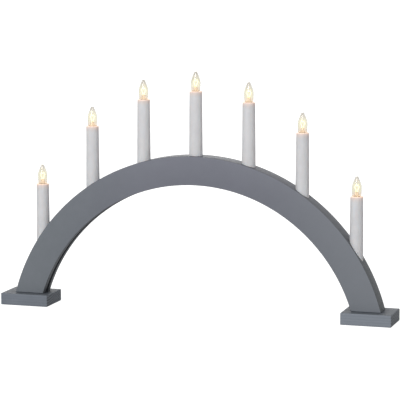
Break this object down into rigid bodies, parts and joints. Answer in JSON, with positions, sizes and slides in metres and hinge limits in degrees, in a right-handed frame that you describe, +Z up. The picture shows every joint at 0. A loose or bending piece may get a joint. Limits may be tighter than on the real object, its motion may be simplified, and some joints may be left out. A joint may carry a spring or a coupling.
{
  "type": "candle arch",
  "caption": "Electric candle arch: a flat painted wooden arch on two block feet, with upright candle tubes whose small screw-in lamps are wired in a groove beneath.",
  "frame": {"origin": "on the table, at the centre of the footprint of the two feet", "axes": "+Z up, +X along the arch to the right as seen from the front, -Y towards the front"},
  "size_m": [0.616, 0.06, 0.3666],
  "materials": {
    "arch_paint": "smooth satin grey-blue paint on wood",
    "foot_paint": "thin matt grey-blue paint with the wood grain showing",
    "screw_steel": "zinc plated",
    "candle_plastic": "satin white, slightly translucent",
    "holder_plastic": "moulded, off-white",
    "contact_brass": "stamped, bright",
    "lamp_glass": "clear, blown",
    "cap_brass": "threaded, bright",
    "lamp_contact": "black glass insulator with a dull solder button",
    "filament": "lit tungsten",
    "wire_insulation": "white insulation",
    "clip_plastic": "moulded, white"
  },
  "bodies": {
    "root": {"arch": "arch_paint", "foot_left": "foot_paint", "foot_right": "foot_paint", "foot_screws": "screw_steel", "candle_tube_1": "candle_plastic", "candle_tube_2": "candle_plastic", "candle_tube_3": "candle_plastic", "candle_tube_4": "candle_plastic", "candle_tube_5": "candle_plastic", "candle_tube_6": "candle_plastic", "candle_tube_7": "candle_plastic", "lampholder_1": "holder_plastic", "lampholder_2": "holder_plastic", "lampholder_3": "holder_plastic", "lampholder_4": "holder_plastic", "lampholder_5": "holder_plastic", "lampholder_6": "holder_plastic", "lampholder_7": "holder_plastic", "screw_shells": "contact_brass", "contact_tongues": "contact_brass", "link_wire_1": "wire_insulation", "link_wire_2": "wire_insulation", "link_wire_3": "wire_insulation", "link_wire_4": "wire_insulation", "link_wire_5": "wire_insulation", "link_wire_6": "wire_insulation", "lead_wire": "wire_insulation", "return_wire": "wire_insulation", "wire_clips": "clip_plastic"},
    "lamp_1_contact": {"lamp_contact_1": "lamp_contact"},
    "lamp_1": {"lamp_glass_1": "lamp_glass", "lamp_cap_1": "cap_brass", "lamp_filament_1": "filament"},
    "lamp_2_contact": {"lamp_contact_2": "lamp_contact"},
    "lamp_2": {"lamp_glass_2": "lamp_glass", "lamp_cap_2": "cap_brass", "lamp_filament_2": "filament"},
    "lamp_3_contact": {"lamp_contact_3": "lamp_contact"},
    "lamp_3": {"lamp_glass_3": "lamp_glass", "lamp_cap_3": "cap_brass", "lamp_filament_3": "filament"},
    "lamp_4_contact": {"lamp_contact_4": "lamp_contact"},
    "lamp_4": {"lamp_glass_4": "lamp_glass", "lamp_cap_4": "cap_brass", "lamp_filament_4": "filament"},
    "lamp_5_contact": {"lamp_contact_5": "lamp_contact"},
    "lamp_5": {"lamp_glass_5": "lamp_glass", "lamp_cap_5": "cap_brass", "lamp_filament_5": "filament"},
    "lamp_6_contact": {"lamp_contact_6": "lamp_contact"},
    "lamp_6": {"lamp_glass_6": "lamp_glass", "lamp_cap_6": "cap_brass", "lamp_filament_6": "filament"},
    "lamp_7_contact": {"lamp_contact_7": "lamp_contact"},
    "lamp_7": {"lamp_glass_7": "lamp_glass", "lamp_cap_7": "cap_brass", "lamp_filament_7": "filament"}
  },
  "joints": [
    {"name": "lamp_1_lift", "type": "slide", "parent": "root", "child": "lamp_1_contact", "axis": [0, 0, 1], "range_m": [0, 0.0064]},
    {"name": "lamp_1_unscrew", "type": "hinge", "parent": "lamp_1_contact", "child": "lamp_1", "pos_m": [-0.2481, 0, 0.18766], "axis": [0, 0, 1], "range_deg": [0, 1260]},
    {"name": "lamp_2_lift", "type": "slide", "parent": "root", "child": "lamp_2_contact", "axis": [0, 0, 1], "range_m": [0, 0.0064]},
    {"name": "lamp_2_unscrew", "type": "hinge", "parent": "lamp_2_contact", "child": "lamp_2", "pos_m": [-0.1654, 0, 0.27929], "axis": [0, 0, 1], "range_deg": [0, 1260]},
    {"name": "lamp_3_lift", "type": "slide", "parent": "root", "child": "lamp_3_contact", "axis": [0, 0, 1], "range_m": [0, 0.0064]},
    {"name": "lamp_3_unscrew", "type": "hinge", "parent": "lamp_3_contact", "child": "lamp_3", "pos_m": [-0.0827, 0, 0.32208], "axis": [0, 0, 1], "range_deg": [0, 1260]},
    {"name": "lamp_4_lift", "type": "slide", "parent": "root", "child": "lamp_4_contact", "axis": [0, 0, 1], "range_m": [0, 0.0064]},
    {"name": "lamp_4_unscrew", "type": "hinge", "parent": "lamp_4_contact", "child": "lamp_4", "pos_m": [0, 0, 0.3364], "axis": [0, 0, 1], "range_deg": [0, 1260]},
    {"name": "lamp_5_lift", "type": "slide", "parent": "root", "child": "lamp_5_contact", "axis": [0, 0, 1], "range_m": [0, 0.0064]},
    {"name": "lamp_5_unscrew", "type": "hinge", "parent": "lamp_5_contact", "child": "lamp_5", "pos_m": [0.0827, 0, 0.32208], "axis": [0, 0, 1], "range_deg": [0, 1260]},
    {"name": "lamp_6_lift", "type": "slide", "parent": "root", "child": "lamp_6_contact", "axis": [0, 0, 1], "range_m": [0, 0.0064]},
    {"name": "lamp_6_unscrew", "type": "hinge", "parent": "lamp_6_contact", "child": "lamp_6", "pos_m": [0.1654, 0, 0.27929], "axis": [0, 0, 1], "range_deg": [0, 1260]},
    {"name": "lamp_7_lift", "type": "slide", "parent": "root", "child": "lamp_7_contact", "axis": [0, 0, 1], "range_m": [0, 0.0064]},
    {"name": "lamp_7_unscrew", "type": "hinge", "parent": "lamp_7_contact", "child": "lamp_7", "pos_m": [0.2481, 0, 0.18766], "axis": [0, 0, 1], "range_deg": [0, 1260]}
  ],
  "couplings": [
    {"joint": "lamp_1_lift", "follows": "lamp_1_unscrew", "m_per_rad": 0.00028871},
    {"joint": "lamp_2_lift", "follows": "lamp_2_unscrew", "m_per_rad": 0.00028871},
    {"joint": "lamp_3_lift", "follows": "lamp_3_unscrew", "m_per_rad": 0.00028871},
    {"joint": "lamp_4_lift", "follows": "lamp_4_unscrew", "m_per_rad": 0.00028871},
    {"joint": "lamp_5_lift", "follows": "lamp_5_unscrew", "m_per_rad": 0.00028871},
    {"joint": "lamp_6_lift", "follows": "lamp_6_unscrew", "m_per_rad": 0.00028871},
    {"joint": "lamp_7_lift", "follows": "lamp_7_unscrew", "m_per_rad": 0.00028871}
  ]
}
